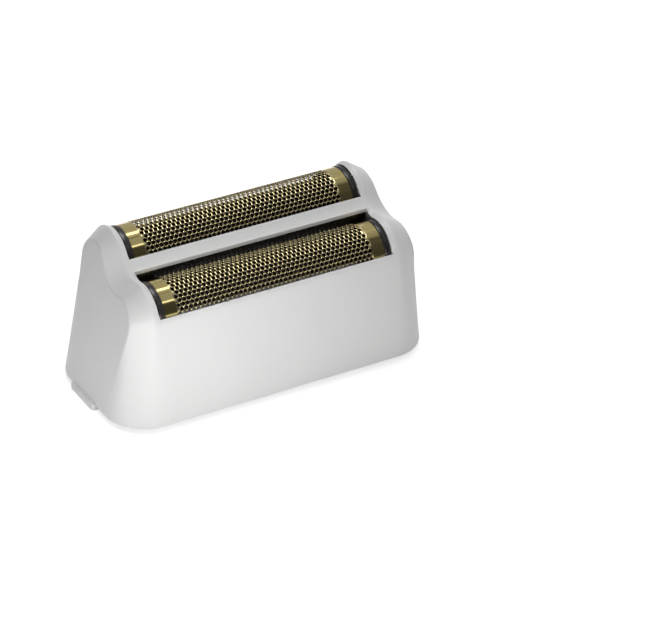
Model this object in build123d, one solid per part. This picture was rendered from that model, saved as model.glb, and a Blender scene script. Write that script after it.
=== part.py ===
"""Foil head of a two-foil electric shaver: moulded shroud, black foil carrier and two arched foils.

X runs along the foils, Y from the front foil to the rear one, Z up. The origin is the middle of the
base, on the plane that the two grip ledges of the shroud stand on.
"""
from build123d import *
import math
import os

# Foils: thin sheet bent over an arch of narrow flats, with a straight tail down each long edge
foil_radius = 5.5
foil_thickness = 0.2
foil_tail = 2.2
front_axis_y = -7.2
front_axis_height = 19.35
foil_step_back = 11.7
foil_step_up = 5.45

# Perforation: one row of six-sided holes on each flat, every second row moved by half a pitch
hole_rows = 6
hole_pitch = 2.7
hole_across = 2.0
plain_end = 2.4

# Shroud
rim_length = 64.8
rim_depth = 30.6
rim_corner_radius = 8.3
crown_drop = 1.9
crown_start = 0.2
end_draft = 9.1
corner_steps = 5
wall = 1.5
rim_wall = 2.0
rear_relief = 2.6
cheek_core_reach = 1.2
hump_over_foil = 0.7
valley_radius = 4.3
cheek_length = 8.55
window_lip_height = 1.6
lip_edge_radius = 0.3
bridge_front_reach = 4.2
bridge_rear_reach = 5.8
bridge_thickness = 0.75

# Grip ledges and catches at the two ends of the rim
ledge_width = 9.0
ledge_back = 1.0
ledge_out = 0.65
ledge_drop = 0.75
ledge_rise = 0.35
catch_width = 8.0
catch_depth = 0.5
catch_height = 1.8
catch_above_rim = 3.5

# Carrier
rail_thickness = 1.2
rail_depth = 4.5
arch_collar = 1.15
end_wall = 2.0
ear_length = 3.8
ear_width = 5.4
ear_thickness = 1.5

# Snap tongues of the shroud, through the ears of the carrier
tongue_width = 3.0
tongue_thickness = 1.4
tongue_from_window = 2.0
barb_reach = 0.5
barb_height = 1.2

# Clearances
foil_clearance = 0.02
pocket_clearance = 0.2
seat_clearance = 0.05
slot_clearance = 0.1

# Heights and places that follow from the sizes above
rim_z = ledge_drop
socket_top = rim_z + catch_above_rim + catch_height
front_axis = Vector(front_axis_y, rim_z + front_axis_height)
rear_axis = front_axis + Vector(foil_step_back, foil_step_up)
foil_axes = (front_axis, rear_axis)
hump_radius = foil_radius + hump_over_foil
pocket_radius = foil_radius + pocket_clearance
seat_radius = foil_radius - foil_thickness - foil_clearance
head_top = rear_axis.Y + hump_radius + wall
window_length = rim_length - 2 * cheek_length
carrier_length = window_length - 2 * pocket_clearance
foil_length = carrier_length - 2 * (arch_collar + seat_clearance)
holes_per_row = 1 + int((foil_length - 2 * plain_end - hole_across) / hole_pitch)
fence_front = front_axis.X + bridge_front_reach + pocket_clearance
fence_rear = rear_axis.X - pocket_radius
tongue_x = window_length / 2 + tongue_from_window
ear_room = ear_width / 2 + pocket_clearance
chamber_length = carrier_length + 2 * (ear_length + pocket_clearance)
ENDS = (-1, 1)


def heading(start, end):
    """Angle in degrees of the line from start to end"""
    return math.degrees(math.atan2(end.Y - start.Y, end.X - start.X))


def hollow_axis(front, rear):
    """Centre of the hollow that touches the humps round two axes"""
    span = rear - front
    rise = math.sqrt((hump_radius + valley_radius) ** 2 - (span.length / 2) ** 2)
    return (front + rear) / 2 + Vector(-span.Y, span.X).normalized() * rise


valley_axis = hollow_axis(front_axis, rear_axis)


def rectangle(low_y, high_y, low_z, high_z):
    """Upright rectangle of the side view, given by its edges"""
    return Pos((low_y + high_y) / 2, (low_z + high_z) / 2) * Rectangle(high_y - low_y, high_z - low_z)


def disc(axis, radius):
    """Disc of the side view round an axis that runs along the foils"""
    return Pos(axis.X, axis.Y) * Circle(radius)


def arch(axis, radius, leg):
    """Half disc of the side view over two straight legs"""
    below = rectangle(axis.X - radius, axis.X + radius, axis.Y - leg - radius, axis.Y)
    return disc(axis, radius) - below + rectangle(axis.X - radius, axis.X + radius, axis.Y - leg, axis.Y)


def along(side_view, length):
    """Solid of a side view, `length` long and centred on X = 0"""
    return extrude(Plane.YZ * side_view, amount=length / 2, both=True)


def side_outline(rim_inset, hump_inset, lean):
    """Side outline of the shroud above its rim, drawn in at the rim and over the humps.

    Front and rear walls run from the rim in a tangent to the hump over each foil, and a hollow joins
    the two humps. The outline lies on a plane with a lean, so heights on it are longer than upright ones.
    """
    stretch = 1 / math.cos(lean)
    front = Vector(front_axis.X, (front_axis.Y - rim_z) * stretch)
    rear = Vector(rear_axis.X, (rear_axis.Y - rim_z) * stretch)
    valley = hollow_axis(front, rear)
    hump = hump_radius - hump_inset
    foot = rim_depth / 2 - rim_inset
    front_foot, rear_foot = Vector(-foot, 0), Vector(foot, 0)
    front_lean = math.degrees(math.asin(hump / (front - front_foot).length))
    rear_lean = math.degrees(math.asin(hump / (rear - rear_foot).length))
    front_start = heading(front_foot, front) + front_lean + 90
    rear_stop = heading(rear_foot, rear) - rear_lean - 90
    front_stop = heading(front, valley)
    rear_start = heading(rear, valley)
    front_hump = CenterArc(front, hump, front_start, front_stop - front_start)
    hollow = CenterArc(valley, valley_radius + hump_inset, front_stop + 180, rear_start - front_stop)
    rear_hump = CenterArc(rear, hump, rear_start, rear_stop - rear_start)
    walls = Polyline(rear_hump @ 1, rear_foot, front_foot, front_hump @ 0)
    return make_face([front_hump, hollow, rear_hump] + walls.edges())


def humped_body():
    """Outer body of the shroud: an upright middle, and ends lofted through sections that shrink.

    Towards the end face the sections draw in along a corner radius at the rim and a straight bevel over the
    humps, which starts a part of the way out, and lean more and more, up to the draft of the end face.
    """
    middle_length = rim_length - 2 * rim_corner_radius
    body = Pos(0, 0, rim_z) * along(side_outline(0, 0, 0), middle_length)
    for side in ENDS:
        sections = []
        for step in range(corner_steps + 1):
            turn = math.pi / 2 * step / corner_steps
            lean = math.radians(end_draft) * math.cos(turn)
            from_end = rim_corner_radius * (1 - math.cos(turn))
            plane = Plane(
                origin=(side * (rim_length / 2 - from_end), 0, rim_z),
                x_dir=(0, 1, 0),
                z_dir=(math.cos(lean), 0, side * math.sin(lean)),
            )
            rim_inset = rim_corner_radius * (1 - math.sin(turn))
            hump_inset = crown_drop * max(math.cos(turn) - crown_start, 0) / (1 - crown_start)
            sections.append(plane * side_outline(rim_inset, hump_inset, lean))
        body += loft(sections, ruled=True)
    return body


def core():
    """Hollow of the shroud: a straight socket for the neck, a chamber over it and a cavity in each hump"""
    socket = RectangleRounded(
        rim_length - 2 * rim_wall, rim_depth - 2 * rim_wall, rim_corner_radius - rim_wall
    )
    hollow = Pos(0, 0, rim_z) * extrude(socket, amount=socket_top - rim_z)
    chamber = rectangle(
        front_axis.X - ear_room, rear_axis.X + ear_room, socket_top, front_axis.Y - rail_depth
    )
    hollow += along(chamber, chamber_length)
    for axis in foil_axes:
        under_hump = arch(axis, hump_radius - wall, axis.Y - socket_top)
        hollow += along(under_hump, window_length + 2 * cheek_core_reach)
        beside_ear = rectangle(axis.X - ear_room, axis.X + ear_room, socket_top, axis.Y)
        hollow += along(beside_ear, chamber_length)
        for side in ENDS:
            hollow -= tongue(side, axis)
    return hollow


def pocket():
    """Hollow between the cheeks, round the foils and the carrier and under the bridge"""
    front, rear = front_axis.X - pocket_radius, rear_axis.X + pocket_radius
    side_view = Polygon(
        (front, socket_top),
        (rim_depth / 2 - rear_relief, socket_top),
        (rear, rear_axis.Y),
        (rear_axis.X - pocket_radius, rear_axis.Y),
        (rear_axis.X - pocket_radius, front_axis.Y),
        (front, front_axis.Y),
        align=None,
    )
    for axis in foil_axes:
        side_view += disc(axis, pocket_radius)
    under_bridge = rectangle(
        fence_front - pocket_clearance, fence_rear + pocket_clearance, front_axis.Y, head_top
    )
    side_view += under_bridge - disc(valley_axis, valley_radius + bridge_thickness)
    return along(side_view, window_length)


def make_shroud():
    """White moulded shell with its windows, ledges, catches and snap tongues"""
    shell = humped_body() - core() - pocket()
    front_window = rectangle(
        -rim_depth / 2, front_axis.X + bridge_front_reach, front_axis.Y + window_lip_height, head_top
    )
    rear_window = rectangle(
        rear_axis.X - bridge_rear_reach, rim_depth / 2, rear_axis.Y + window_lip_height, head_top
    )
    shell -= along(front_window + rear_window, window_length)
    shell -= along(lip_rounding(front_axis, -1) + lip_rounding(rear_axis, 1), window_length)
    for side in ENDS:
        shell += ledge(side) + catch(side)
    return shell


def lip_rounding(axis, outward):
    """Sliver of the side view that rounds the outer edge of a lip, on the front or rear side of an axis"""
    lip = axis.Y + window_lip_height
    below_lip = window_lip_height - lip_edge_radius
    reach = math.sqrt((hump_radius - lip_edge_radius) ** 2 - below_lip ** 2)
    centre = Vector(axis.X + outward * reach, lip - lip_edge_radius)
    on_hump = axis + (centre - axis).normalized() * hump_radius
    corner = Polygon(
        (centre.X, centre.Y), (centre.X, lip), (on_hump.X, lip), (on_hump.X, on_hump.Y), align=None
    )
    return corner - disc(centre, lip_edge_radius)


def ledge(side):
    """Small grip ledge that stands out and down at one end of the rim"""
    length = rim_wall + ledge_out
    height = ledge_drop + ledge_rise
    middle_x = rim_length / 2 + ledge_out - length / 2
    block = Pos(side * middle_x, ledge_back, height / 2) * Box(length, ledge_width, height)
    outer_edges = block.edges().filter_by(Axis.Z).sort_by(Axis.X, reverse=side < 0)[-2:]
    return fillet(outer_edges, ledge_out)


def catch(side):
    """Wedge inside one end wall that snaps under the neck of the shaver"""
    wall_x = rim_length / 2 - rim_wall
    root_x = wall_x + rim_wall / 2
    wedge = Polygon(
        (side * root_x, socket_top - catch_height),
        (side * (wall_x - catch_depth), socket_top - catch_height / 2),
        (side * root_x, socket_top),
        align=None,
    )
    return extrude(Plane.XZ * wedge, amount=catch_width / 2, both=True)


def tongue(side, axis):
    """Flat tongue from above a cheek through an ear of the carrier, with a barb under the ear"""
    under_ear = axis.Y - rail_depth - seat_clearance
    half = tongue_thickness / 2
    outline = Polygon(
        (side * (tongue_x - half), head_top),
        (side * (tongue_x + half), head_top),
        (side * (tongue_x + half), under_ear),
        (side * (tongue_x + half + barb_reach), under_ear),
        (side * (tongue_x + half), under_ear - barb_height),
        (side * (tongue_x - half), under_ear - barb_height),
        align=None,
    )
    return Pos(0, axis.X, 0) * extrude(Plane.XZ * outline, amount=tongue_width / 2, both=True)


def make_carrier():
    """Black frame: rails under the long edges of the foils, divider, end arches and ears"""
    rail_out = seat_radius
    rail_in = seat_radius - rail_thickness
    lip = foil_radius
    tail_low = foil_tail + seat_clearance
    rails = rectangle(
        front_axis.X - rail_out, front_axis.X - rail_in, front_axis.Y - rail_depth, front_axis.Y
    )
    rails += rectangle(
        front_axis.X - lip, front_axis.X - rail_in, front_axis.Y - rail_depth, front_axis.Y - tail_low
    )
    rails += rectangle(
        rear_axis.X + rail_in, rear_axis.X + rail_out, rear_axis.Y - rail_depth, rear_axis.Y
    )
    rails += rectangle(
        rear_axis.X + rail_in, rear_axis.X + lip, rear_axis.Y - rail_depth, rear_axis.Y - tail_low
    )
    # The divider is the rear rail of the front foil, the front rail of the rear foil, and a fence between
    # the two that fills the gap under the bridge
    divider = rectangle(
        front_axis.X + rail_in, front_axis.X + rail_out, front_axis.Y - rail_depth, front_axis.Y
    )
    divider += rectangle(
        front_axis.X + rail_in, rear_axis.X - rail_in, front_axis.Y - rail_depth, front_axis.Y - tail_low
    )
    divider += rectangle(
        rear_axis.X - rail_out, rear_axis.X - rail_in, front_axis.Y - rail_depth, rear_axis.Y
    )
    fence = rectangle(fence_front, fence_rear, front_axis.Y, valley_axis.Y)
    fence += rectangle(fence_front, rear_axis.X - rail_in, front_axis.Y, rear_axis.Y - tail_low)
    fence -= disc(front_axis, pocket_radius)
    fence -= disc(valley_axis, valley_radius + bridge_thickness + seat_clearance)
    divider += fence
    carrier = along(rails + divider, carrier_length)
    for axis in foil_axes:
        seat = arch(axis, seat_radius, rail_depth)
        collar = arch(axis, foil_radius, rail_depth)
        for side in ENDS:
            outer_x = side * carrier_length / 2
            carrier += extrude(Plane.YZ.offset(outer_x) * seat, amount=-side * end_wall)
            carrier += extrude(Plane.YZ.offset(outer_x) * collar, amount=-side * arch_collar)
            carrier += ear(side, axis)
    return carrier


def ear(side, axis):
    """Flat ear outside an end arch, with the slot for a snap tongue"""
    inner_x = carrier_length / 2 - end_wall / 2
    outer_x = carrier_length / 2 + ear_length
    plate = Pos((inner_x + outer_x) / 2, 0) * Rectangle(outer_x - inner_x, ear_width)
    plate = chamfer(plate.vertices().group_by(Axis.X)[-1], ear_width / 4)
    slot = Rectangle(tongue_thickness + 2 * slot_clearance, tongue_width + 2 * slot_clearance)
    plate -= Pos(tongue_x, 0) * slot
    solid = extrude(plate, amount=ear_thickness)
    if side < 0:
        solid = mirror(solid, about=Plane.YZ)
    return Pos(0, axis.X, axis.Y - rail_depth) * solid


def bent_outline(axis, distance):
    """Side view under a foil: flats that touch a circle of radius `distance`, and two straight tails"""
    turn = math.pi / (hole_rows + 1)
    corner = distance / math.cos(turn / 2)
    arch_points = []
    for fold in range(hole_rows + 1):
        angle = (fold + 0.5) * turn
        arch_points.append((axis.X + corner * math.cos(angle), axis.Y + corner * math.sin(angle)))
    low = axis.Y - foil_tail
    return Polygon((axis.X + distance, low), *arch_points, (axis.X - distance, low), align=None)


def make_foil(axis):
    """Perforated sheet over one arch, with plain ends and tails"""
    sheet = bent_outline(axis, foil_radius) - bent_outline(axis, foil_radius - foil_thickness)
    foil = along(sheet, foil_length)
    hole = RegularPolygon(hole_across / 2, 6, major_radius=False, rotation=30)
    punch = extrude(hole, amount=foil_thickness, both=True)
    holes = []
    for row in range(hole_rows):
        turn = (row - (hole_rows - 1) / 2) * 180 / (hole_rows + 1)
        count = holes_per_row - row % 2
        flat = Pos(0, axis.X, axis.Y) * Rot(turn, 0, 0) * Pos(0, 0, foil_radius - foil_thickness / 2)
        for column in range(count):
            holes.append(flat * Pos((column - (count - 1) / 2) * hole_pitch, 0, 0) * punch)
    return foil - holes


os.makedirs("parts", exist_ok=True)
export_step(make_shroud(), "parts/shroud.step")
export_step(make_carrier(), "parts/foil_carrier.step")
export_step(make_foil(front_axis), "parts/front_foil.step")
export_step(make_foil(rear_axis), "parts/rear_foil.step")
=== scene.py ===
import math

import bpy
import numpy as np
from mathutils import Matrix, Vector


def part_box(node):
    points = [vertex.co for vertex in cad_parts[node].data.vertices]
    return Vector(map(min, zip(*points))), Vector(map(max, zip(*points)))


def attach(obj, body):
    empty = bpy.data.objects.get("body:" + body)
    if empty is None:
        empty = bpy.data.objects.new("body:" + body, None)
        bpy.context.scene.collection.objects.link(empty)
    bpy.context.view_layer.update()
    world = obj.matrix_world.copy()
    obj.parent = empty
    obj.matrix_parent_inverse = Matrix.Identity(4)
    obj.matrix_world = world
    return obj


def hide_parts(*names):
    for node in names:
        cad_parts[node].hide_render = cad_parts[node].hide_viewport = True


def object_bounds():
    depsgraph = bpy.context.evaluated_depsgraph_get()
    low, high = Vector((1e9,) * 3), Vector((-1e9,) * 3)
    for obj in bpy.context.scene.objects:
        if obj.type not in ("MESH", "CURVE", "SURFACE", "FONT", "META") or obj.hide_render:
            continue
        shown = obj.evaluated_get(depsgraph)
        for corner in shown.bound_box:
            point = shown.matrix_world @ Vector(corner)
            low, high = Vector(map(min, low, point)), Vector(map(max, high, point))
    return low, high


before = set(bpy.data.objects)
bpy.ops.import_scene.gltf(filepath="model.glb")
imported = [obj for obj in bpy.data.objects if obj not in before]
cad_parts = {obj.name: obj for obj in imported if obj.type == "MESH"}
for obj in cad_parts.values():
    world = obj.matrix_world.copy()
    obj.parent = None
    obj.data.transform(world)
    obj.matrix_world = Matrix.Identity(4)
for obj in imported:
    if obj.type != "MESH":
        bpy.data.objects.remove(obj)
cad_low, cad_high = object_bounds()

# SHROUD BODY
# The shroud is one thin white ABS moulding: a drafted rounded box whose top is drawn into two stepped humps,
# one over each foil, with a hollow between them. Each end is a flat leaning face inside a bevelled shoulder.
mm = 0.001
tiny = 0.001 * mm
shroud_low, shroud_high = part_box("shroud")
front_low, front_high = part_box("front_foil")
rear_low, rear_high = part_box("rear_foil")
foil_radius = (front_high.y - front_low.y) / 2
foil_half_length = front_high.x
foil_tail = 2.2 * mm
front_axis = np.array([(front_low.y + front_high.y) / 2, front_low.z + foil_tail])
rear_axis = np.array([(rear_low.y + rear_high.y) / 2, rear_low.z + foil_tail])
ledge_drop = 0.75 * mm
ledge_out = 0.65 * mm
rim_z = shroud_low.z + ledge_drop
rim_half_length = shroud_high.x - ledge_out
rim_half_depth = (shroud_high.y - shroud_low.y) / 2
rim_corner_radius = 8.3 * mm
end_draft = math.radians(9.1)
crown_drop = 1.9 * mm
crown_start = 0.2
ridge_softness = 0.05
hump_cover = 0.7 * mm
hump_radius = foil_radius + hump_cover
hollow_radius = 4.3 * mm
lip_height = 1.6 * mm
cheek_length = 8.55 * mm
window_half_length = rim_half_length - cheek_length
front_axis_to_bridge = 4.2 * mm
rear_axis_to_bridge = 5.8 * mm
bridge_front = front_axis[0] + front_axis_to_bridge
bridge_rear = rear_axis[0] - rear_axis_to_bridge

# Rows of points in each stretch of a section
wall_rows = 10
lip_rows = 5
front_hump_rows = 24
front_dip_rows = 9
bridge_rows = 5
rear_dip_rows = 2
rear_hump_rows = 34


def heading(start, end):
    return math.atan2(end[1] - start[1], end[0] - start[0])


def touch_angle(foot, axis, radius, turn):
    """Direction from an axis to where a straight wall from the foot touches the hump round that axis"""
    return heading(foot, axis) + turn * (math.asin(radius / np.hypot(*(axis - foot))) + math.pi / 2)


def hollow_axis(front, rear):
    """Centre of the hollow that touches the humps round two axes"""
    span = rear - front
    length = np.hypot(*span)
    rise = math.sqrt((hump_radius + hollow_radius) ** 2 - (length / 2) ** 2)
    return (front + rear) / 2 + np.array([-span[1], span[0]]) / length * rise


def polar(centre, radius, angle):
    return centre + radius * np.array([math.cos(angle), math.sin(angle)])


def arc(centre, radius, start, stop, steps):
    """Points from start up to, but without, stop"""
    angles = np.linspace(start, stop, steps + 1)[:-1]
    return centre + radius * np.stack([np.cos(angles), np.sin(angles)], 1)


def straight(start, stop, steps):
    """Points from start up to, but without, stop"""
    return start + np.linspace(0, 1, steps + 1)[:-1, None] * (stop - start)


def side_outline(rim_inset, hump_inset, lean):
    """Rows of points from the front foot of the shroud over both humps to its rear foot"""
    stretch = 1 / math.cos(lean)
    front = np.array([front_axis[0], (front_axis[1] - rim_z) * stretch])
    rear = np.array([rear_axis[0], (rear_axis[1] - rim_z) * stretch])
    hollow = hollow_axis(front, rear)
    hump = hump_radius - hump_inset
    dip = hollow_radius + hump_inset
    front_foot = np.array([rim_inset - rim_half_depth, 0.0])
    rear_foot = np.array([rim_half_depth - rim_inset, 0.0])
    front_start = touch_angle(front_foot, front, hump, 1)
    front_stop = heading(front, hollow)
    rear_start = heading(rear, hollow)
    rear_stop = touch_angle(rear_foot, rear, hump, -1)
    lip_angle = math.asin(lip_height / hump_radius)
    front_lip = min(math.pi - lip_angle, front_start)
    rear_lip = max(lip_angle, rear_stop)
    straight_down = 1.5 * math.pi
    bridge_start, bridge_stop = [
        straight_down + math.asin((y - hollow[0]) / hollow_radius) for y in (bridge_front, bridge_rear)
    ]
    return [
        straight(front_foot, polar(front, hump, front_start), wall_rows),
        arc(front, hump, front_start, front_lip, lip_rows),
        arc(front, hump, front_lip, front_stop, front_hump_rows),
        arc(hollow, dip, front_stop + math.pi, bridge_start, front_dip_rows),
        arc(hollow, dip, bridge_start, bridge_stop, bridge_rows),
        arc(hollow, dip, bridge_stop, rear_start + math.pi, rear_dip_rows),
        arc(rear, hump, rear_start, rear_lip, rear_hump_rows),
        arc(rear, hump, rear_lip, rear_stop, lip_rows),
        straight(polar(rear, hump, rear_stop), rear_foot, wall_rows),
        rear_foot[None],
    ]


def soft_step(past):
    """Zero before the ridge, the way past it after, and a soft bend between"""
    return (past + math.hypot(past, ridge_softness)) / 2


# Sections of one end, from its flat face (turn 0) to the full upright section (turn 90 degrees)
turn_count = 181
turns = np.linspace(0, math.pi / 2, turn_count)
end_sections = []
for turn in turns:
    lean = end_draft * math.cos(turn)
    from_end = rim_corner_radius * (1 - math.cos(turn))
    crown = soft_step(math.cos(turn) - crown_start) - soft_step(-crown_start)
    crown_share = crown / (soft_step(1 - crown_start) - soft_step(-crown_start))
    rows = side_outline(rim_corner_radius * (1 - math.sin(turn)), crown_drop * crown_share, lean)
    outline = np.concatenate(rows)
    x = rim_half_length - from_end - outline[:, 1] * math.sin(lean)
    z = rim_z + outline[:, 1] * math.cos(lean)
    end_sections.append(np.stack([x, outline[:, 0], z], 1))
end_sections = np.array(end_sections)
points = end_sections.shape[1]
row_marks = np.cumsum([len(row) for row in rows])
front_wall_top, front_lip_row, _, bridge_front_row = row_marks[:4]
bridge_rear_row, _, rear_lip_row, rear_wall_top = row_marks[4:8]

# The walls follow the round of the rim corner at their foot and the bevel of the shoulder at their top
wall_share = np.ones(points)
wall_share[:front_wall_top] = np.arange(front_wall_top) / front_wall_top
wall_share[rear_wall_top:] = np.linspace(1, 0, points - rear_wall_top)
window_stations = [0, 8 * mm, 16 * mm, 20 * mm, 22 * mm, 23 * mm, 23.5 * mm, window_half_length]
end_stations = [0, 0.03, 0.06, 0.1, 0.14, 0.18, 0.22, 0.27, 0.33, 0.4, 0.48, 0.57, 0.67, 0.78, 0.89, 1]
half_rings = []
for x in window_stations:
    ring = end_sections[-1].copy()
    ring[:, 0] = x
    half_rings.append(ring)
for station in end_stations:
    foot_turn = (1 - station) * math.pi / 2
    top_turn = math.acos(station)
    ring = np.zeros((points, 3))
    for row, share in enumerate(wall_share):
        turn = (1 - share) * foot_turn + share * top_turn
        ring[row] = [np.interp(turn, turns, end_sections[:, row, part]) for part in range(3)]
    half_rings.append(ring)

# The edge of each shoulder rolls down to the end of its foil
lip_drop = 0.44 * mm
lip_slope = 1.0 * mm
lip_curve = 1.3
fade_rows = 3
first_end_ring = len(window_stations) - 1


def lip_share(x):
    """One along the windows, down to zero where the slope of the shoulder's edge ends"""
    return min(max(1 - (x - window_half_length) / lip_slope, 0), 1)


for first, last, axis in (
    (front_lip_row, bridge_front_row, front_axis),
    (bridge_rear_row, rear_lip_row, rear_axis),
):
    for ring in half_rings[first_end_ring:]:
        for row in range(first, last + 1):
            out = ring[row, 1:] - axis
            fade = min(1, (row - first) / fade_rows, (last - row) / fade_rows)
            drop = lip_drop * lip_share(ring[row, 0]) ** lip_curve * fade
            ring[row, 1:] -= out / np.hypot(*out) * drop

# The long lips of the windows roll in over their top millimetre
lip_roll = 0.2 * mm
for ring in half_rings:
    for offset in range(lip_rows + 1):
        roll = lip_roll * (1 - offset / lip_rows) ** 2
        for row, inward in ((front_lip_row - offset, 1), (rear_lip_row + offset, -1)):
            ring[row, 1] += inward * roll * lip_share(ring[row, 0])

rings = [ring * [-1, 1, 1] for ring in half_rings[:0:-1]] + half_rings
columns = len(rings)
bpy.ops.object.select_all(action="DESELECT")
bpy.ops.mesh.primitive_grid_add(x_subdivisions=columns - 1, y_subdivisions=points - 1, size=1)
shroud = bpy.context.object
shroud.name = "white_shroud"
shroud.data.name = "white_shroud"
shroud.data.vertices.foreach_set("co", np.swapaxes(np.array(rings), 0, 1).ravel())
shroud.data.update()


def pick(piece, part, wanted):
    """Selects, in object mode, only the vertices, edges or faces that pass the test"""
    for items in (piece.data.vertices, piece.data.edges, piece.data.polygons):
        items.foreach_set("select", [False] * len(items))
    for item in getattr(piece.data, part):
        item.select = bool(wanted(item))


def choose(piece):
    bpy.ops.object.select_all(action="DESELECT")
    piece.select_set(True)
    bpy.context.view_layer.objects.active = piece


def edit(piece, mode):
    """Enters edit mode on one piece alone, to work with its VERT, EDGE or FACE selection"""
    choose(piece)
    bpy.context.tool_settings.mesh_select_mode = [mode == kind for kind in ("VERT", "EDGE", "FACE")]
    bpy.ops.object.mode_set(mode="EDIT")


def leave_edit():
    bpy.ops.object.mode_set(mode="OBJECT")


def fill(piece, wanted):
    """Closes an opening with one face between the vertices that pass the test"""
    pick(piece, "vertices", wanted)
    edit(piece, "VERT")
    bpy.ops.mesh.edge_face_add()
    leave_edit()


def extrude_edges(step=(0, 0, 0)):
    bpy.ops.mesh.extrude_edges_move(TRANSFORM_OT_translate={"value": step})


def face_outward(piece):
    edit(piece, "VERT")
    bpy.ops.mesh.select_all(action="SELECT")
    bpy.ops.mesh.normals_make_consistent(inside=False)
    leave_edit()


# The windows are cut out of the humps, and the ends and the foot are closed
window_columns = [index for index, ring in enumerate(rings) if abs(ring[0, 0]) <= window_half_length + tiny]
end_lean = math.tan(end_draft)


def over_window(face):
    face_rows = [index // columns for index in face.vertices]
    face_columns = [index % columns for index in face.vertices]
    inside = min(face_columns) >= window_columns[0] and max(face_columns) <= window_columns[-1]
    over_front = min(face_rows) >= front_lip_row and max(face_rows) <= bridge_front_row
    over_rear = min(face_rows) >= bridge_rear_row and max(face_rows) <= rear_lip_row
    return inside and (over_front or over_rear)


def on_end_face(co):
    return abs(abs(co.x) + (co.z - rim_z) * end_lean - rim_half_length) < 2 * tiny


def on_rim(co):
    return co.z < rim_z + tiny


pick(shroud, "polygons", over_window)
edit(shroud, "FACE")
bpy.ops.mesh.delete(type="FACE")
leave_edit()
for side in (-1, 1):
    fill(shroud, lambda vertex: on_end_face(vertex.co) and vertex.co.x * side > 0)
fill(shroud, lambda vertex: on_rim(vertex.co))

# Each window border turns in to a flat lip and goes down as a blind well, which the hollow opens later
lip_clearance = 0.15 * mm
lip_reach = math.sqrt(hump_radius ** 2 - lip_height ** 2) - lip_roll
lip_draw = (foil_radius + lip_clearance) / lip_reach
bridge_draw = 0.995
end_step = 0.05 * mm
well_split = (bridge_front + bridge_rear) / 2
well_floor = 18 * mm
edit(shroud, "EDGE")
bpy.ops.mesh.select_non_manifold(
    extend=False, use_wire=False, use_boundary=True, use_multi_face=False, use_non_contiguous=False,
    use_verts=False,
)
extrude_edges()
leave_edit()
for vertex in shroud.data.vertices:
    if not vertex.select:
        continue
    axis_y, outward = (front_axis[0], -1) if vertex.co.y < well_split else (rear_axis[0], 1)
    from_axis = vertex.co.y - axis_y
    vertex.co.y = axis_y + from_axis * (lip_draw if from_axis * outward > 0 else bridge_draw)
    if abs(abs(vertex.co.x) - window_half_length) < tiny:
        vertex.co.x -= math.copysign(end_step, vertex.co.x)
edit(shroud, "EDGE")
extrude_edges()
leave_edit()
for vertex in shroud.data.vertices:
    if vertex.select:
        vertex.co.z = well_floor


def on_well_floor(co):
    return abs(co.z - well_floor) < tiny and abs(co.x) < window_half_length


for side in (-1, 1):
    fill(shroud, lambda vertex: on_well_floor(vertex.co) and (vertex.co.y - well_split) * side > 0)
face_outward(shroud)

# Moulded edges are softened: the borders of the windows, the crease round each end face and the rim


def beside_window(co):
    return abs(co.x) < window_half_length + tiny


def on_bridge_edge(co):
    at_bridge = min(abs(co.y - bridge_front), abs(co.y - bridge_rear)) < tiny
    return at_bridge and beside_window(co) and co.z > front_axis[1]


def on_lip_edge(co):
    away = [abs(abs(co.y - y) - lip_reach) + abs(co.z - z - lip_height) for y, z in (front_axis, rear_axis)]
    return min(away) < 2 * tiny and beside_window(co)


def round_edges(piece, wanted, width, segments):
    """Rounds the edges of a piece whose two ends pass the test together"""
    corners = piece.data.vertices
    pick(piece, "edges", lambda edge: wanted(*[corners[index].co for index in edge.vertices]))
    edit(piece, "EDGE")
    bpy.ops.mesh.bevel(offset=width, offset_type="OFFSET", segments=segments, affect="EDGES")
    leave_edit()


soft_edges = [
    (on_bridge_edge, 0.18 * mm),
    (on_lip_edge, 0.1 * mm),
    (on_end_face, 0.3 * mm),
    (on_rim, 0.15 * mm),
]
for on_edge, width in soft_edges:
    round_edges(shroud, lambda start, end: on_edge(start) and on_edge(end), width, segments=3)

# SHROUD INSIDE
# The mould core leaves a straight socket for the neck, a chamber over it and a cavity in each hump, and four
# barbed tongues that hold the carrier. Ledges and catches stand on the rim at both ends.
wall = 1.5 * mm
rim_wall = 2.0 * mm
socket_depth = 5.3 * mm
socket_top = rim_z + socket_depth
overlap = 1.0 * mm
core_lift = 2 * mm
core_low = rim_z + core_lift
cavity_low = core_low - overlap / 2
cavity_radius = hump_radius - wall
foil_clearance = 0.2 * mm
pocket_radius = foil_radius + foil_clearance
cut_gap = 0.01 * mm
pocket_half_length = window_half_length + 2 * cut_gap
rail_depth = 4.5 * mm
ear_room = 2.9 * mm
ear_half_length = 27.65 * mm
hump_half_length = window_half_length + 1.2 * mm
bridge_thickness = 0.75 * mm
(front_y, front_z), (rear_y, rear_z) = front_axis, rear_axis


def prism(section, half_length, along="X"):
    """Solid along X of a Y-Z outline, or along Y of an X-Z outline"""
    bpy.ops.object.select_all(action="DESELECT")
    bpy.ops.mesh.primitive_circle_add(vertices=len(section), fill_type="NGON", location=(0, 0, 0))
    piece = bpy.context.object
    for vertex, (across, height) in zip(piece.data.vertices, section):
        vertex.co = (-half_length, across, height) if along == "X" else (across, -half_length, height)
    step = (2 * half_length, 0, 0) if along == "X" else (0, 2 * half_length, 0)
    edit(piece, "FACE")
    bpy.ops.mesh.select_all(action="SELECT")
    bpy.ops.mesh.extrude_region_move(TRANSFORM_OT_translate={"value": step})
    leave_edit()
    face_outward(piece)
    return piece


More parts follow.
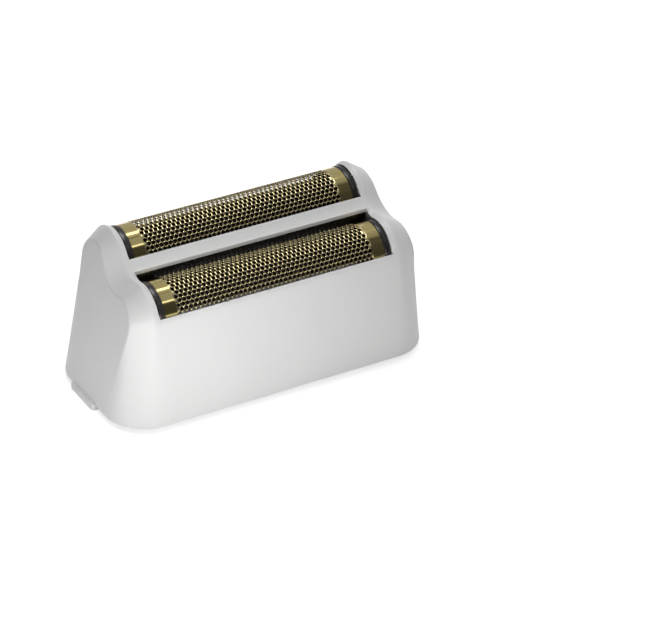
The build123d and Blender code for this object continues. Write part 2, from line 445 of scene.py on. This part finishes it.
def combine(piece, tool, operation):
    """Cuts a tool out of a piece, or joins it on, and takes the tool away"""
    step = piece.modifiers.new("combine", "BOOLEAN")
    step.operation = operation
    step.solver = "EXACT"
    step.object = tool
    choose(piece)
    bpy.ops.object.modifier_apply(modifier="combine")
    bpy.data.objects.remove(tool)


bpy.ops.object.select_all(action="DESELECT")
bpy.ops.mesh.primitive_cube_add(size=1, location=(0, 0, 0))
socket = bpy.context.object
for vertex in socket.data.vertices:
    vertex.co.x *= 2 * (rim_half_length - rim_wall)
    vertex.co.y *= 2 * (rim_half_depth - rim_wall)
    vertex.co.z = socket_top if vertex.co.z > 0 else rim_z - overlap
round_edges(socket, lambda start, end: abs(start.z - end.z) > mm, rim_corner_radius - rim_wall, segments=10)
combine(shroud, socket, "DIFFERENCE")

chamber_top = front_z - rail_depth
combine(shroud, prism([
    (front_y - ear_room, core_low), (rear_y + ear_room, core_low), (rear_y + ear_room, rear_z),
    (rear_y - ear_room, rear_z), (rear_y - ear_room, chamber_top), (front_y + ear_room, chamber_top),
    (front_y + ear_room, front_z), (front_y - ear_room, front_z),
], ear_half_length), "DIFFERENCE")
for axis in (front_axis, rear_axis):
    combine(shroud, prism([
        (axis[0] - cavity_radius, cavity_low),
        (axis[0] + cavity_radius, cavity_low),
        *arc(axis, cavity_radius, 0, math.pi, steps=32),
        (axis[0] - cavity_radius, axis[1]),
    ], hump_half_length), "DIFFERENCE")

# Pockets under the windows, each cut a little longer than the one before, so that no faces coincide
rear_relief = 2.6 * mm
pocket_low = socket_top - overlap
combine(shroud, prism([
    (front_y - pocket_radius, pocket_low),
    (rim_half_depth - rear_relief, pocket_low),
    *arc(rear_axis, pocket_radius, 0, math.pi, steps=64),
    (rear_y - pocket_radius, rear_z),
    (rear_y - pocket_radius, front_z),
    (front_y - pocket_radius, front_z),
], pocket_half_length), "DIFFERENCE")
front_pocket = arc(front_axis, pocket_radius, 0, 2 * math.pi, steps=128)
combine(shroud, prism(front_pocket, pocket_half_length + cut_gap), "DIFFERENCE")
bridge_axis = hollow_axis(front_axis, rear_axis)
under_radius = hollow_radius + bridge_thickness
under_front = bridge_front - 0.15 * mm
under_rear = rear_y - pocket_radius + 0.2 * mm
under_low = front_z - overlap
under_points = 9
under_bridge = [(under_front, under_low), (under_rear, under_low)]
for y in np.linspace(under_rear, under_front, under_points):
    under_bridge.append((y, bridge_axis[1] - math.sqrt(under_radius ** 2 - (y - bridge_axis[0]) ** 2)))
combine(shroud, prism(under_bridge, pocket_half_length + 2 * cut_gap), "DIFFERENCE")

# Tongues, catches and grip ledges, the same at both ends
tongue_x = window_half_length + 2 * mm
half_tongue = 0.7 * mm
tongue_half_width = 1.5 * mm
barb_reach = 0.5 * mm
barb_height = 1.2 * mm
ear_clearance = 0.05 * mm
catch_depth = 0.5 * mm
catch_height = 1.8 * mm
catch_half_width = 4.0 * mm
catch_root = rim_half_length - rim_wall / 2
catch_tip = rim_half_length - rim_wall - catch_depth
catch_low = socket_top - catch_height
ledge_rise = 0.35 * mm
ledge_back = 1.0 * mm
ledge_half_width = 4.5 * mm
ledge_top = rim_z + ledge_rise
ledge_inner = rim_half_length - rim_wall + 0.1 * mm
ledge_outer = rim_half_length + ledge_out
ledge_corner_radius = 0.98 * ledge_out
ledge_edge_radius = 0.12 * mm


def at_outer_corner(start, end):
    outer = all(abs(abs(co.x) - ledge_outer) < tiny for co in (start, end))
    return outer and abs(start.z - end.z) > mm / 2


def at_top_edge(start, end):
    return all(abs(co.z - ledge_top) < tiny and abs(co.x) > rim_half_length - mm for co in (start, end))


def end_prism(side, section, half_length, y):
    """Solid along Y at one end of the shroud, of an outline that is drawn for the right end"""
    piece = prism([(side * x, z) for x, z in section], half_length, "Y")
    piece.data.transform(Matrix.Translation((0, y, 0)))
    return piece


for side in (-1, 1):
    for y, z in (front_axis, rear_axis):
        under_ear = z - rail_depth - ear_clearance
        combine(shroud, end_prism(side, [
            (tongue_x - half_tongue, z + overlap),
            (tongue_x + half_tongue, z + overlap),
            (tongue_x + half_tongue, under_ear),
            (tongue_x + half_tongue + barb_reach, under_ear),
            (tongue_x + half_tongue, under_ear - barb_height),
            (tongue_x - half_tongue, under_ear - barb_height),
        ], tongue_half_width, y), "UNION")
    combine(shroud, end_prism(side, [
        (catch_root, catch_low), (catch_tip, socket_top - catch_height / 2), (catch_root, socket_top),
    ], catch_half_width, 0), "UNION")
    ledge = end_prism(side, [
        (ledge_inner, rim_z - ledge_drop), (ledge_outer, rim_z - ledge_drop),
        (ledge_outer, ledge_top), (ledge_inner, ledge_top),
    ], ledge_half_width, ledge_back)
    round_edges(ledge, at_outer_corner, ledge_corner_radius, segments=5)
    round_edges(ledge, at_top_edge, ledge_edge_radius, segments=2)
    combine(shroud, ledge, "UNION")


def merge(piece, distance):
    """Joins the vertices that lie together, and leaves everything selected in edit mode"""
    edit(piece, "VERT")
    bpy.ops.mesh.select_all(action="SELECT")
    bpy.ops.mesh.remove_doubles(threshold=distance)


def smooth(piece, degrees):
    choose(piece)
    bpy.ops.object.shade_smooth_by_angle(angle=math.radians(degrees))


# Corners that lie together are joined, and a small four-sided gap that the cuts leave is filled
merge(shroud, tiny / 2)
bpy.ops.mesh.fill_holes(sides=4)
leave_edit()
smooth(shroud, 38)
weigh = shroud.modifiers.new("flat faces stay flat", "WEIGHTED_NORMAL")
weigh.keep_sharp = True
bpy.ops.object.modifier_apply(modifier="flat faces stay flat")
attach(shroud, "root")
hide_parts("shroud")


def feed(tree, socket, source):
    """Sets an input to a fixed value, or links the output of another node to it"""
    if isinstance(source, bpy.types.NodeSocket):
        tree.links.new(source, socket)
    else:
        socket.default_value = source


def add_node(tree, kind, **inputs):
    """A shader node and its named inputs, with an underscore for each space in a name"""
    node = tree.nodes.new("ShaderNode" + kind)
    for name, source in inputs.items():
        feed(tree, node.inputs[name.replace("_", " ")], source)
    return node


def colour_ramp(tree, share, stops):
    """Colour at a share of the way along (position, colour) stops"""
    ramp = add_node(tree, "ValToRGB", Fac=share)
    elements = ramp.color_ramp.elements
    for index, (position, colour) in enumerate(stops):
        stop = elements[index] if index < 2 else elements.new(position)
        stop.position = position
        stop.color = (*colour, 1)
    return ramp.outputs["Color"]


def value_range(tree, value, **limits):
    return add_node(tree, "MapRange", Value=value, **limits).outputs["Result"]


# Satin white ABS: a fine spark-eroded grain and a slightly uneven gloss
white = bpy.data.materials.new("satin_white_abs")
white.use_nodes = True
tree = white.node_tree
shader = tree.nodes["Principled BSDF"]
place = add_node(tree, "TexCoord").outputs["Object"]
cloud = add_node(tree, "TexNoise", Vector=place, Scale=60, Detail=3).outputs["Fac"]
grain = add_node(tree, "TexNoise", Vector=place, Scale=9000, Detail=2).outputs["Fac"]
grain_bump = add_node(tree, "Bump", Height=grain, Strength=0.06, Distance=0.02 * mm)
white_tint = colour_ramp(tree, cloud, [(0.3, (0.80, 0.80, 0.795)), (0.7, (0.82, 0.82, 0.815))])
feed(tree, shader.inputs["Base Color"], white_tint)
feed(tree, shader.inputs["Roughness"], value_range(tree, grain, To_Min=0.33, To_Max=0.43))
feed(tree, shader.inputs["Normal"], grain_bump.outputs["Normal"])
shroud.data.materials.clear()
shroud.data.materials.append(white)

# FOIL CARRIER
# The carrier is a black glossy moulding that holds both foils: rails along their edges, a divider under the
# bridge and an arch at each end, with ears that snap into the shroud.
carrier_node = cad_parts["foil_carrier"]
carrier = bpy.data.objects.new("black_foil_carrier", carrier_node.data.copy())
bpy.context.collection.objects.link(carrier)
merge(carrier, tiny)
bpy.ops.mesh.dissolve_limited(angle_limit=math.radians(1))
leave_edit()

# A rounded collar runs over each end of the two arches, a little proud of the foil
collar_inner_x = foil_half_length + 0.03 * mm
collar_outer_x = window_half_length - 0.06 * mm
collar_top = foil_radius + 0.09 * mm
collar_depth = 0.5 * mm
collar_low = collar_top - collar_depth
collar_round = 0.36 * mm
collar_start = math.radians(-35)
collar_turn = math.radians(250)
collar_steps = 72


def collar(side, axis):
    """Strip with a rounded top, swept round one end of an arch"""
    bpy.ops.object.select_all(action="DESELECT")
    bpy.ops.mesh.primitive_circle_add(vertices=4, fill_type="NGON", location=(0, 0, 0))
    piece = bpy.context.object
    section = [
        (collar_inner_x, collar_low), (collar_outer_x, collar_low),
        (collar_outer_x, collar_top), (collar_inner_x, collar_top),
    ]
    for vertex, (x, radius) in zip(piece.data.vertices, section):
        vertex.co = (side * x, *polar(axis, radius, collar_start))
    top_corners = (2, 3)
    pick(piece, "vertices", lambda vertex: vertex.index in top_corners)
    edit(piece, "VERT")
    bpy.ops.mesh.bevel(offset=collar_round, offset_type="OFFSET", segments=5, affect="VERTICES")
    bpy.ops.mesh.select_all(action="SELECT")
    bpy.ops.mesh.spin(steps=collar_steps, angle=-collar_turn, center=(0, *axis), axis=(1, 0, 0))
    leave_edit()
    merge(piece, tiny / 2)
    leave_edit()
    face_outward(piece)
    return piece


collars = [collar(side, axis) for side in (-1, 1) for axis in (front_axis, rear_axis)]


def join(main, others):
    bpy.ops.object.select_all(action="DESELECT")
    for piece in (*others, main):
        piece.select_set(True)
    bpy.context.view_layer.objects.active = main
    bpy.ops.object.join()


join(carrier, collars)
smooth(carrier, 35)
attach(carrier, "root")
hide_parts("foil_carrier")

# Glossy black plastic with a slight haze
black = bpy.data.materials.new("glossy_black_plastic")
black.use_nodes = True
tree = black.node_tree
shader = tree.nodes["Principled BSDF"]
shader.inputs["IOR"].default_value = 1.52
place = add_node(tree, "TexCoord").outputs["Object"]
haze = add_node(tree, "TexNoise", Vector=place, Scale=900, Detail=4).outputs["Fac"]
black_tint = colour_ramp(tree, haze, [(0, (0.017, 0.015, 0.014)), (1, (0.027, 0.024, 0.022))])
feed(tree, shader.inputs["Base Color"], black_tint)
feed(tree, shader.inputs["Roughness"], value_range(tree, haze, To_Min=0.2, To_Max=0.32))
carrier.data.materials.clear()
carrier.data.materials.append(black)

# FOILS
# Each foil is a gold-toned sheet with rows of fine holes, every second row moved by half a pitch. Its
# ends are plain, and it is bent over the arches of the carrier with its tails tucked down behind the lips.
hole_pitch = 0.91 * mm
row_pitch = hole_pitch * math.sqrt(3) / 2
hole_radius = 0.405 * mm
hole_sides = 12
hole_dish = 0.03 * mm
hole_rows = 19
holes_long_row = 44
plain_start = 0.12 * mm
sheet_thickness = 0.2 * mm
sheet_merge = 0.005 * mm


def repeat(piece, count, step, merged):
    """Copies of a piece in a row, with the vertices of neighbours joined if merged"""
    row = piece.modifiers.new("repeat", "ARRAY")
    row.count = count
    row.use_relative_offset = False
    row.use_constant_offset = True
    row.constant_offset_displace = step
    row.use_merge_vertices = merged
    row.merge_threshold = sheet_merge
    choose(piece)
    bpy.ops.object.modifier_apply(modifier="repeat")


def draw_out(piece, along, side, edge, steps):
    """Extends one edge of a flat sheet along X (0) or Y (1) in the given steps"""
    for step in steps:
        pick(piece, "vertices", lambda vertex: abs(vertex.co[along] - side * edge) < sheet_merge)
        edit(piece, "VERT")
        extrude_edges((side * step, 0, 0) if along == 0 else (0, side * step, 0))
        leave_edit()
        edge += step


def perforated_row(count, shift):
    """One row of the sheet: a tile round one hole, repeated, with a plain strip out to each end"""
    bpy.ops.object.select_all(action="DESELECT")
    bpy.ops.mesh.primitive_circle_add(
        vertices=hole_sides, radius=hole_radius, fill_type="NOTHING", location=(0, 0, 0)
    )
    tile = bpy.context.object
    edit(tile, "VERT")
    bpy.ops.mesh.select_all(action="SELECT")
    bpy.ops.transform.translate(value=(0, 0, -hole_dish))
    extrude_edges((0, 0, hole_dish))
    leave_edit()

    # The outer ring of the tile is a rectangle, with its corners and quarter points on twelve directions
    quarters = {0: 2, 1: 2, 2: 1, 3: 0, 4: -1, 5: -2, 6: -2}
    for vertex in tile.data.vertices:
        if vertex.co.z < -hole_dish / 2:
            continue
        direction = round(math.atan2(vertex.co.y, vertex.co.x) / (2 * math.pi / hole_sides))
        rise = 0 if abs(direction) in (0, 6) else math.copysign(1, direction)
        vertex.co = (quarters[abs(direction)] * hole_pitch / 4, rise * row_pitch / 2, 0)
    repeat(tile, count, (hole_pitch, 0, 0), merged=True)
    tile.data.transform(Matrix.Translation((-(count - 1) * hole_pitch / 2, 0, 0)))
    half_row = count * hole_pitch / 2
    plain = foil_half_length - half_row - shift * hole_pitch / 2
    for side in (-1, 1):
        draw_out(tile, 0, side, half_row, [hole_pitch / 4] * (2 * shift) + [plain_start, plain - plain_start])
    return tile


sheet = perforated_row(holes_long_row, 0)
short_rows = perforated_row(holes_long_row - 1, 1)
short_rows.data.transform(Matrix.Translation((0, row_pitch, 0)))
repeat(sheet, (hole_rows + 1) // 2, (0, 2 * row_pitch, 0), merged=False)
repeat(short_rows, hole_rows // 2, (0, 2 * row_pitch, 0), merged=False)
join(sheet, [short_rows])
sheet.data.transform(Matrix.Translation((0, -(hole_rows - 1) * row_pitch / 2, 0)))
merge(sheet, sheet_merge)
leave_edit()

# Plain margins on to the tails, in steps small enough to bend
margin_steps = 4
field_edge = hole_rows * row_pitch / 2
margin = foil_radius * math.pi / 2 - field_edge
for side in (-1, 1):
    draw_out(sheet, 1, side, field_edge, [margin / margin_steps] * margin_steps + [foil_tail])
face_outward(sheet)


def coordinates(piece):
    values = np.zeros(len(piece.data.vertices) * 3)
    piece.data.vertices.foreach_get("co", values)
    return values.reshape(-1, 3)


def bend_foil(name, axis):
    """A copy of the flat sheet, bent over its arch with straight tails, and given its thickness"""
    foil = bpy.data.objects.new(name, sheet.data.copy())
    bpy.context.collection.objects.link(foil)
    flat = coordinates(foil)
    angle = np.clip(flat[:, 1] / foil_radius, -math.pi / 2, math.pi / 2)
    tail = np.abs(flat[:, 1]) - np.abs(angle) * foil_radius
    radius = foil_radius + flat[:, 2]
    bent_y = axis[0] + radius * np.sin(angle)
    bent_z = axis[1] + radius * np.cos(angle) - tail
    foil.data.vertices.foreach_set("co", np.stack([flat[:, 0], bent_y, bent_z], 1).ravel())
    foil.data.update()
    thicken = foil.modifiers.new("sheet", "SOLIDIFY")
    thicken.thickness = sheet_thickness
    thicken.offset = -1
    choose(foil)
    bpy.ops.object.modifier_apply(modifier="sheet")
    smooth(foil, 50)

    # The gold tone is on the outer face alone, and the walls of the holes are bare metal, painted dark as the
    # shade inside the holes
    coat_depth = 0.3 * sheet_thickness
    field_end = holes_long_row * hole_pitch / 2 + 0.01 * mm
    solid = coordinates(foil)
    depth = foil_radius - np.hypot(solid[:, 1] - axis[0], np.maximum(solid[:, 2] - axis[1], 0))
    coat = foil.data.attributes.new("coat", "FLOAT", "POINT")
    coat.data.foreach_set("value", np.clip(1 - (depth - hole_dish) / coat_depth, 0, 1))
    web = foil.data.attributes.new("web", "FLOAT", "POINT")
    web.data.foreach_set("value", (np.abs(solid[:, 0]) < field_end).astype(float))
    return foil


front_foil = bend_foil("front_perforated_foil", front_axis)
rear_foil = bend_foil("rear_perforated_foil", rear_axis)
bpy.data.objects.remove(sheet)


def blend(tree, kind, share, low, high):
    """Goes from low at share 0 to high at share 1, for numbers (FLOAT) or colours (RGBA)"""
    first_input, result = {"FLOAT": (2, 0), "RGBA": (6, 2)}[kind]
    mix = add_node(tree, "Mix", Factor=share)
    mix.data_type = kind
    feed(tree, mix.inputs[first_input], low)
    feed(tree, mix.inputs[first_input + 1], high)
    return mix.outputs[result]


# Gold-toned metal: polished and drawn along the foil at the plain ends, duller on the web between the holes
gold = bpy.data.materials.new("gold_toned_foil")
gold.use_nodes = True
tree = gold.node_tree
shader = tree.nodes["Principled BSDF"]
shader.inputs["Metallic"].default_value = 1.0
place = add_node(tree, "TexCoord").outputs["Object"]
drawn = add_node(tree, "Mapping", Vector=place, Scale=(40, 2500, 2500)).outputs["Vector"]
brush = add_node(tree, "TexNoise", Vector=drawn, Scale=1, Detail=3).outputs["Fac"]
plain_tint = colour_ramp(tree, brush, [(0.3, (0.61, 0.51, 0.225)), (0.7, (0.68, 0.57, 0.255))])
plain_rough = value_range(tree, brush, To_Min=0.07, To_Max=0.11)
web_mark = add_node(tree, "Attribute")
web_mark.attribute_name = "web"
web_share = web_mark.outputs["Fac"]
coat_mark = add_node(tree, "Attribute")
coat_mark.attribute_name = "coat"
gold_over_painted_shade_share = value_range(tree, coat_mark.outputs["Fac"], From_Min=0.75, From_Max=0.97)
outer_tint = blend(tree, "RGBA", web_share, plain_tint, (0.57, 0.485, 0.265, 1))
outer_rough = blend(tree, "FLOAT", web_share, plain_rough, 0.27)
# Painted shade: the walls of the holes get a dark tint that stands in for the shade inside them
bare_wall_painted_shade_tint = (0.15, 0.125, 0.085, 1)
bare_rough = 0.45
feed(tree, shader.inputs["Base Color"], blend(tree, "RGBA", gold_over_painted_shade_share, bare_wall_painted_shade_tint, outer_tint))
feed(tree, shader.inputs["Roughness"], blend(tree, "FLOAT", gold_over_painted_shade_share, bare_rough, outer_rough))
for foil, node in ((front_foil, "front_foil"), (rear_foil, "rear_foil")):
    foil.data.materials.clear()
    foil.data.materials.append(gold)
    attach(foil, "root")
    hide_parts(node)

# FLOOR AND LIGHT
# A white sweep in a studio, with a pale wall behind the part and a dark room behind the camera. Soft boxes
# light it from above, from the front and at the near end, and faint cards and strips show in the foils.
floor_size = 4
floor_gap = 0.02 * mm
floor_glow = 0.62
bpy.ops.object.select_all(action="DESELECT")
bpy.ops.mesh.primitive_plane_add(size=floor_size, location=(0, 0, cad_low.z - floor_gap))
floor = bpy.context.object
floor.name = "floor"


def operate(tree, kind, operation, *sources):
    """A math or vector node, fed in the order of its inputs"""
    node = tree.nodes.new("ShaderNode" + kind)
    node.operation = operation
    for socket, source in zip(node.inputs, sources):
        feed(tree, socket, source)
    return node.outputs


# The floor is white to the eye and to gloss, but not under the part, where the missing glow paints a shadow,
# and it can be seen through from below
floor_paint = bpy.data.materials.new("white_sweep")
floor_paint.use_nodes = True
tree = floor_paint.node_tree
tree.nodes.remove(tree.nodes["Principled BSDF"])
place = add_node(tree, "TexCoord").outputs["Object"]
scaled = operate(tree, "VectorMath", "DIVIDE", place, (cad_high.x, cad_high.y, 1))["Vector"]
spread = operate(tree, "VectorMath", "ABSOLUTE", scaled)["Vector"]
sides = add_node(tree, "SeparateXYZ", Vector=spread).outputs
furthest = operate(tree, "Math", "MAXIMUM", sides["X"], sides["Y"])["Value"]
# Painted shadow: the glow fades out over the footprint of the part
floor_outside_painted_shadow = value_range(tree, furthest, From_Min=0.78, From_Max=0.86)
rays = add_node(tree, "LightPath").outputs
seen = operate(tree, "Math", "MAXIMUM", rays["Is Camera Ray"], rays["Is Glossy Ray"])["Value"]
seen = operate(tree, "Math", "MAXIMUM", seen, rays["Is Transmission Ray"])["Value"]
glow_seen_outside_painted_shadow = operate(tree, "Math", "MULTIPLY", floor_outside_painted_shadow, seen)["Value"]
glow_level = operate(tree, "Math", "MULTIPLY", glow_seen_outside_painted_shadow, floor_glow)["Value"]
glow = add_node(tree, "Emission", Strength=glow_level)
paint = add_node(tree, "BsdfDiffuse", Color=(0.75, 0.75, 0.75, 1))
upper_face = add_node(tree, "AddShader")
tree.links.new(paint.outputs["BSDF"], upper_face.inputs[0])
tree.links.new(glow.outputs["Emission"], upper_face.inputs[1])
from_below = add_node(tree, "NewGeometry").outputs["Backfacing"]
one_sided = add_node(tree, "MixShader", Fac=from_below)
tree.links.new(upper_face.outputs["Shader"], one_sided.inputs[1])
tree.links.new(add_node(tree, "BsdfTransparent").outputs["BSDF"], one_sided.inputs[2])
tree.links.new(one_sided.outputs["Shader"], tree.nodes["Material Output"].inputs["Surface"])
floor.data.materials.append(floor_paint)

# The room goes from dark, on the camera's side, to the pale wall behind the part
world = bpy.data.worlds.new("studio")
bpy.context.scene.world = world
world.use_nodes = True
tree = world.node_tree
to_wall = (0.8, 0.6, 0)
room_tones = [(0.0, 0.0), (0.4, 0.06), (0.60, 0.09), (0.66, 0.37), (0.82, 0.47), (1.0, 0.5)]
view = add_node(tree, "TexCoord").outputs["Generated"]
facing = operate(tree, "VectorMath", "DOT_PRODUCT", view, to_wall)["Value"]
room_share = value_range(tree, facing, From_Min=-1, From_Max=1)
room = colour_ramp(tree, room_share, [(position, (tone, tone, tone)) for position, tone in room_tones])
feed(tree, tree.nodes["Background"].inputs["Color"], room)
feed(tree, tree.nodes["Background"].inputs["Strength"], 1.0)
middle = (cad_low + cad_high) / 2


def soft_box(name, place, width, height, power, aim=None):
    """A lamp that faces the part square from its place, or a given point"""
    bpy.ops.object.light_add(type="AREA", location=place)
    lamp = bpy.context.object
    lamp.name = name
    lamp.data.shape = "RECTANGLE"
    lamp.data.size = width
    lamp.data.size_y = height
    lamp.data.energy = power
    lamp.visible_camera = False
    aim = aim or Vector((place[0], middle.y, middle.z))
    lamp.rotation_euler = (aim - Vector(place)).to_track_quat("-Z", "Y").to_euler()


soft_box("top_box", (0.03, 0.12, 0.5), width=0.26, height=0.26, power=1.2)
soft_box("top_strip", (0.165, 0.13, 0.47), width=0.14, height=0.085, power=0.08)
soft_box("front_card", (0.105, -0.19, 0.45), width=0.25, height=0.30, power=0.08)
soft_box("front_strip", (0.16, -0.3, 0.43), width=0.15, height=0.05, power=0.032)
soft_box("low_card", (0.22, -0.62, 0.04), width=0.16, height=0.08, power=0.025)
soft_box("front_box", (-0.035, -0.085, 0.02), width=0.04, height=0.025, power=0.035, aim=middle)
soft_box("end_card", (-0.085, -0.015, 0.006), width=0.02, height=0.012, power=0.0075, aim=middle)

# CAMERA
# The viewing angle of the photograph: from the front, above and the left end, through a long lens. The head
# stands left of and above the middle of the picture.
camera_turn = math.radians(30.395)
camera_rise = math.radians(31.930)
camera_roll = math.radians(1.068)
camera_distance = 581.93 * mm
aim_right = 15.167 * mm
aim_up = 7.179 * mm
focal_pixels = 3140
image_width = 653
right = Vector((math.cos(camera_turn), -math.sin(camera_turn), 0))
level = -Vector((math.sin(camera_turn), math.cos(camera_turn), 0))
towards = level * math.cos(camera_rise) + Vector((0, 0, math.sin(camera_rise)))
up = towards.cross(right)
aim = Vector((0, 0, rim_z)) + aim_right * right + aim_up * up
bpy.ops.object.camera_add(location=aim + camera_distance * towards)
camera = bpy.context.object
turned = Matrix.Rotation(-camera_turn, 3, "Z") @ Matrix.Rotation(math.pi / 2 - camera_rise, 3, "X")
camera.rotation_euler = (turned @ Matrix.Rotation(camera_roll, 3, "Z")).to_euler()
camera.data.sensor_width = 36
camera.data.lens = focal_pixels / image_width * camera.data.sensor_width
camera.data.clip_start = 0.01
camera.data.clip_end = 10
bpy.context.scene.camera = camera
bpy.context.scene.view_settings.view_transform = "Standard"
